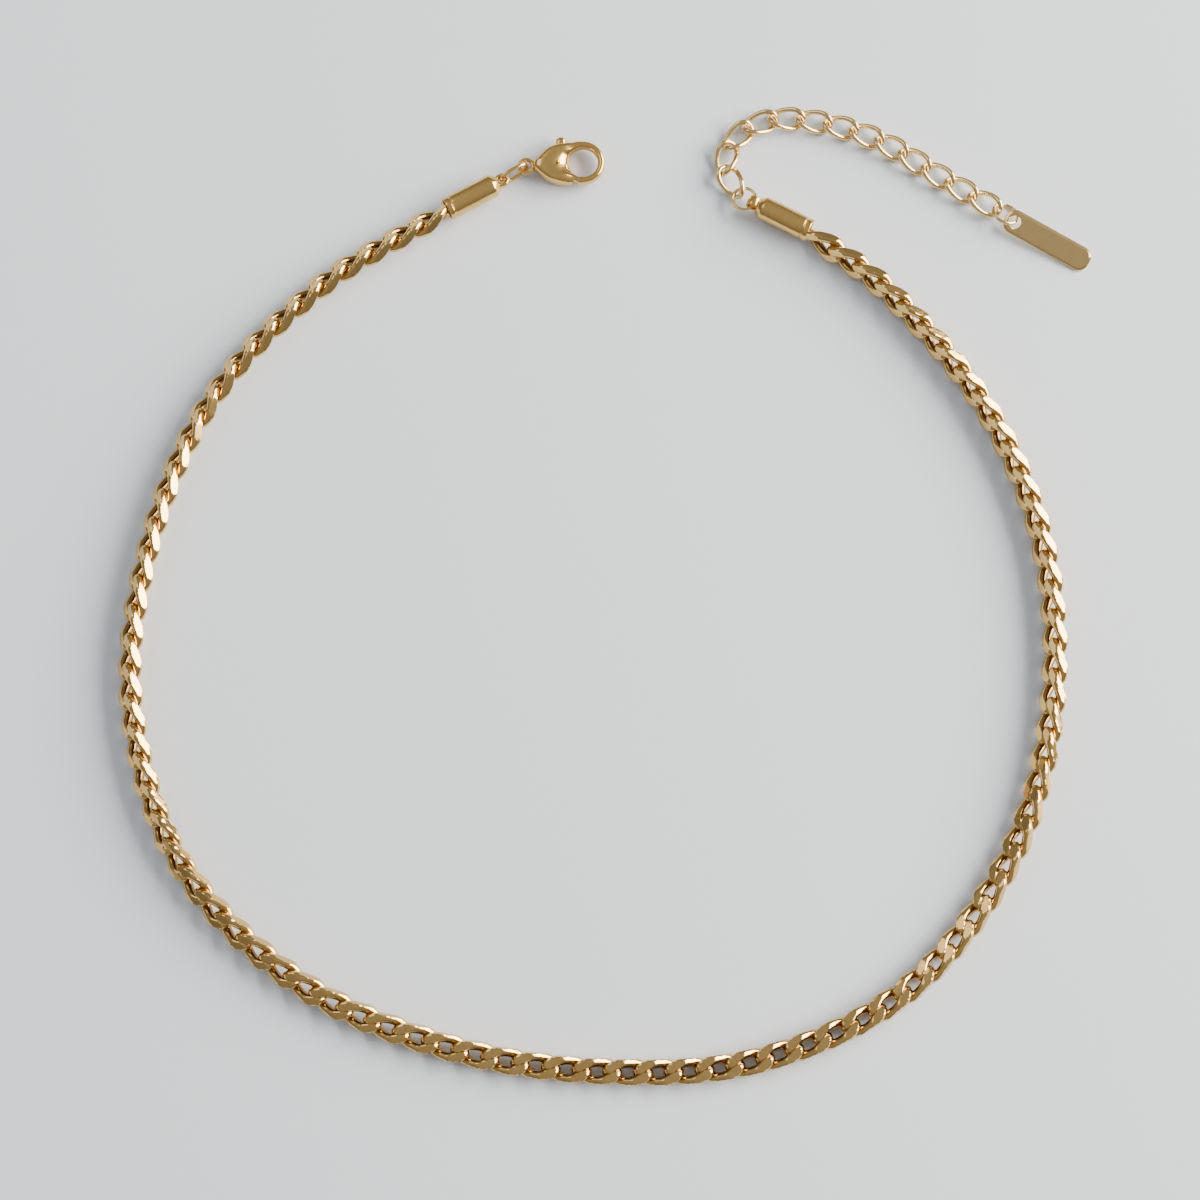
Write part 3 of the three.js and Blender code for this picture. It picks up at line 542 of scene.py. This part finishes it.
# Materials
def polish_group():
    """Hand polish: a broad grain and a finer one. Puts out a roughness, a tone for the
    colour and a height for the bump, all of which change over the surface."""
    group = bpy.data.node_groups.new("hand_polish", "ShaderNodeTree")
    for label, value in (("Grain", 900.0), ("Gloss", 0.16), ("Wear", 0.5)):
        socket = group.interface.new_socket(label, in_out="INPUT", socket_type="NodeSocketFloat")
        socket.default_value = value
    for label in ("Roughness", "Tone", "Height"):
        group.interface.new_socket(label, in_out="OUTPUT", socket_type="NodeSocketFloat")
    nodes, links = group.nodes, group.links
    given = nodes.new("NodeGroupInput")
    result = nodes.new("NodeGroupOutput")
    place = nodes.new("ShaderNodeTexCoord")
    broad = nodes.new("ShaderNodeTexNoise")
    broad.inputs["Detail"].default_value = 3.0
    fine = nodes.new("ShaderNodeTexNoise")
    fine.inputs["Detail"].default_value = 4.0
    finer = nodes.new("ShaderNodeMath")
    finer.operation = "MULTIPLY"
    finer.inputs[1].default_value = 6.0
    links.new(place.outputs["Object"], broad.inputs["Vector"])
    links.new(place.outputs["Object"], fine.inputs["Vector"])
    links.new(given.outputs["Grain"], broad.inputs["Scale"])
    links.new(given.outputs["Grain"], finer.inputs[0])
    links.new(finer.outputs[0], fine.inputs["Scale"])
    spread = nodes.new("ShaderNodeMapRange")
    spread.inputs["To Min"].default_value = 0.6
    spread.inputs["To Max"].default_value = 1.5
    links.new(broad.outputs["Fac"], spread.inputs["Value"])
    rough = nodes.new("ShaderNodeMath")
    rough.operation = "MULTIPLY"
    links.new(spread.outputs[0], rough.inputs[0])
    links.new(given.outputs["Gloss"], rough.inputs[1])
    tone = nodes.new("ShaderNodeMath")
    tone.operation = "MULTIPLY"
    links.new(broad.outputs["Fac"], tone.inputs[0])
    links.new(given.outputs["Wear"], tone.inputs[1])
    links.new(rough.outputs[0], result.inputs["Roughness"])
    links.new(tone.outputs[0], result.inputs["Tone"])
    links.new(fine.outputs["Fac"], result.inputs["Height"])
    return group


polish = polish_group()


def gold(name, pale, deep, gloss, grain=900.0, bump=0.02, inner=None):
    """Polished plating: metal whose colour runs from pale to deep with the polish's tone, and
    toward the inner colour, where one is given, on the links' inner sides: painted shade in the
    hollows between the wires."""
    material = bpy.data.materials.new(name)
    material.use_nodes = True
    nodes, links = material.node_tree.nodes, material.node_tree.links
    shader = nodes["Principled BSDF"]
    shader.inputs["Metallic"].default_value = 1.0
    finish = nodes.new("ShaderNodeGroup")
    finish.node_tree = polish
    finish.inputs["Grain"].default_value = grain
    finish.inputs["Gloss"].default_value = gloss
    finish.inputs["Wear"].default_value = 1.0
    colour = nodes.new("ShaderNodeMix")
    colour.data_type = "RGBA"
    colour.inputs["A"].default_value = (*pale, 1)
    colour.inputs["B"].default_value = (*deep, 1)
    height = nodes.new("ShaderNodeBump")
    height.inputs["Strength"].default_value = bump
    height.inputs["Distance"].default_value = 0.02 * MM
    links.new(finish.outputs["Tone"], colour.inputs["Factor"])
    plating = colour.outputs["Result"]
    # Painted shade: the links' inner sides, where the wires shade each other, are mixed toward the
    # dark inner colour.
    if inner:
        side = nodes.new("ShaderNodeAttribute")
        side.attribute_name = "inner"
        share = nodes.new("ShaderNodeMapRange")
        share.interpolation_type = "SMOOTHSTEP"
        share.inputs["From Min"].default_value = 0.5
        share.inputs["From Max"].default_value = 0.95
        recess = nodes.new("ShaderNodeMix")
        recess.data_type = "RGBA"
        recess.inputs["B"].default_value = (*inner, 1)
        links.new(side.outputs["Fac"], share.inputs["Value"])
        links.new(share.outputs[0], recess.inputs["Factor"])
        links.new(plating, recess.inputs["A"])
        plating = recess.outputs["Result"]
    links.new(plating, shader.inputs["Base Color"])
    links.new(finish.outputs["Roughness"], shader.inputs["Roughness"])
    links.new(finish.outputs["Height"], height.inputs["Height"])
    links.new(height.outputs["Normal"], shader.inputs["Normal"])
    return material


# The third colour is painted shade on the links' inner sides.
chain_gold = gold(
    "chain_gold", (0.80, 0.54, 0.21), (0.62, 0.37, 0.11), 0.12, inner=(0.26, 0.15, 0.05),
)
cap_gold = gold("cap_gold", (0.86, 0.58, 0.21), (0.68, 0.40, 0.11), 0.18)
pale_gold = gold("pale_gold", (0.90, 0.68, 0.34), (0.78, 0.53, 0.21), 0.17)
tag_gold = gold("tag_gold", (0.90, 0.64, 0.28), (0.76, 0.49, 0.18), 0.2)

dressed = [
    (chain_left, "chain_left", chain_gold, "polished_gold"),
    (chain_right, "chain_right", chain_gold, "polished_gold"),
    (cap_left, "end_cap_left", cap_gold, "polished_gold"),
    (cap_right, "end_cap_right", cap_gold, "polished_gold"),
    (connector, "connector_link", cap_gold, "polished_gold"),
    (clasp_body, "clasp_body", cap_gold, "polished_gold"),
    (clasp_lever, "clasp_lever", cap_gold, "polished_gold"),
    (cap_ring, "cap_jump_ring", pale_gold, "pale_gold"),
    (tag_ring, "tag_jump_ring", pale_gold, "pale_gold"),
    (tag, "tag", tag_gold, "pale_gold"),
    *((link, name, pale_gold, "pale_gold") for link, name in zip(extender, extender_names)),
]
for piece, node, material, slot in dressed:
    piece.data.materials.append(material)
    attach(piece, "lever" if node == "clasp_lever" else "body")
    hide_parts(node)


# Floor, light and camera, in metres and watts
FLOOR_HALF = 0.6
FLOOR_DROP = 0.02 * MM
WINDOW = {"place": (0.55, 0.15, 0.29), "size": (0.66, 0.40), "power": 16.5}
REFLECTOR = {"place": (-0.30, 0.20, 0.42), "size": (0.34, 0.26), "power": 0.45}


def pale_floor():
    corners = np.array([[-1, -1, 0], [1, -1, 0], [1, 1, 0], [-1, 1, 0]]) * FLOOR_HALF
    floor = mesh_of("floor", corners - [0, 0, FLOOR_DROP], [(0, 1, 2, 3)])
    material = bpy.data.materials.new("pale_floor")
    material.use_nodes = True
    shader = material.node_tree.nodes["Principled BSDF"]
    shader.inputs["Base Color"].default_value = (0.75, 0.805, 0.89, 1)
    shader.inputs["Roughness"].default_value = 0.45
    floor.data.materials.append(material)


def softbox(name, box, colour):
    """A rectangular light that faces the frame's origin."""
    lamp = bpy.data.lights.new(name, "AREA")
    lamp.shape = "RECTANGLE"
    lamp.size, lamp.size_y = box["size"]
    lamp.energy = box["power"]
    lamp.color = colour
    holder = bpy.data.objects.new(name, lamp)
    holder.location = box["place"]
    way = -np.array(box["place"])
    far = np.linalg.norm(way)
    holder.rotation_euler = (
        math.acos(-way[2] / far), 0.0, math.atan2(way[1], way[0]) - math.pi / 2,
    )
    bpy.context.scene.collection.objects.link(holder)


def sky():
    """A room that is dim near the floor and paler overhead."""
    world = bpy.data.worlds.new("studio")
    world.use_nodes = True
    nodes, links = world.node_tree.nodes, world.node_tree.links
    back = nodes["Background"]
    place = nodes.new("ShaderNodeTexCoord")
    split = nodes.new("ShaderNodeSeparateXYZ")
    ramp = nodes.new("ShaderNodeValToRGB")
    ramp.color_ramp.elements[0].position = 0.0
    ramp.color_ramp.elements[0].color = (0.2, 0.203, 0.207, 1)
    ramp.color_ramp.elements[1].position = 1.0
    ramp.color_ramp.elements[1].color = (0.48, 0.483, 0.487, 1)
    links.new(place.outputs["Generated"], split.inputs[0])
    links.new(split.outputs["Z"], ramp.inputs["Fac"])
    links.new(ramp.outputs["Color"], back.inputs["Color"])
    back.inputs["Strength"].default_value = 1.0
    bpy.context.scene.world = world


pale_floor()
sky()
softbox("window", WINDOW, (1.0, 0.94, 0.84))
softbox("reflector", REFLECTOR, (1.0, 0.98, 0.95))

lens = bpy.data.cameras.new("photo_view")
lens.lens = LENS_MM
lens.sensor_width = SENSOR_MM
lens.clip_start = 0.01
camera = bpy.data.objects.new("photo_view", lens)
aim = shift * MM
camera.location = (
    aim[0],
    aim[1] - CAMERA_DISTANCE * math.cos(CAMERA_ELEVATION),
    CAMERA_DISTANCE * math.sin(CAMERA_ELEVATION),
)
camera.rotation_euler = (math.pi / 2 - CAMERA_ELEVATION, 0, 0)
bpy.context.scene.collection.objects.link(camera)
bpy.context.scene.camera = camera
